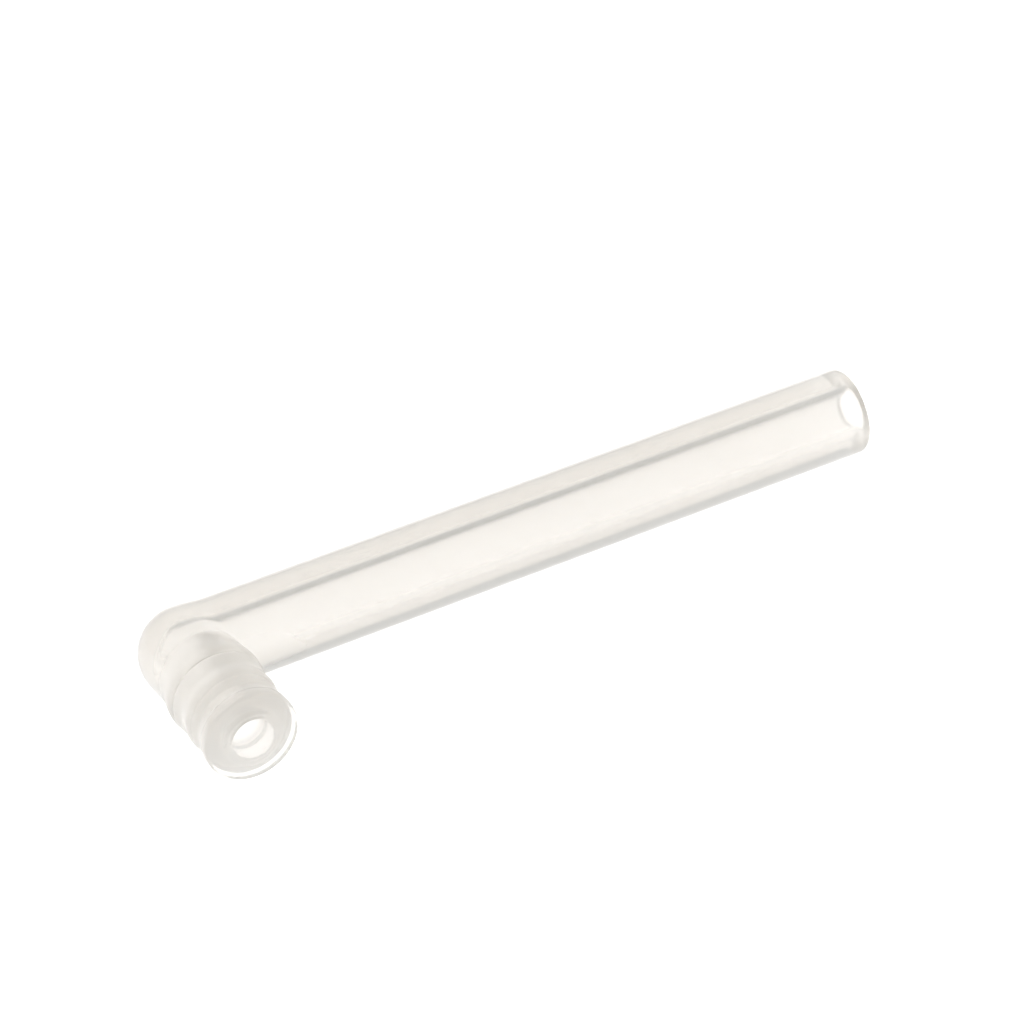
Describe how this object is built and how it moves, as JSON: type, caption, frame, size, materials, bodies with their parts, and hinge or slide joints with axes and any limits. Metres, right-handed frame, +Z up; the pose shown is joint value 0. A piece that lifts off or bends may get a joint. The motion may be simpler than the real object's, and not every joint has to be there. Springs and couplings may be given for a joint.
{
  "type": "nasal aspirator nozzle tube",
  "caption": "L-shaped translucent silicone suction tube for a nasal aspirator, with a beaded stub, a soft sealing ring and a clear flanged connector.",
  "frame": {"origin": "middle of the footprint of the part as it lies flat, on the surface under its lowest point", "axes": "+X along the long tube towards its open tip, -Y along the short stub towards the flange, +Z up"},
  "size_m": [0.088, 0.0228, 0.011],
  "materials": {
    "milky_silicone": "satin, milky and translucent",
    "seal_silicone": "satin, milky and translucent",
    "clear_plastic": "gloss, nearly clear"
  },
  "bodies": {
    "tube": {"suction_tube": "milky_silicone"},
    "seal": {"sealing_ring": "seal_silicone"},
    "connector": {"flange_connector": "clear_plastic"}
  },
  "joints": [
    {"name": "seal_pull", "type": "slide", "parent": "tube", "child": "seal", "axis": [0, -1, 0], "range_m": [0, 0.006]},
    {"name": "connector_swivel", "type": "hinge", "parent": "seal", "child": "connector", "pos_m": [-0.03851, -0.0059, 0.00548], "axis": [0, -1, 0], "continuous": true}
  ]
}
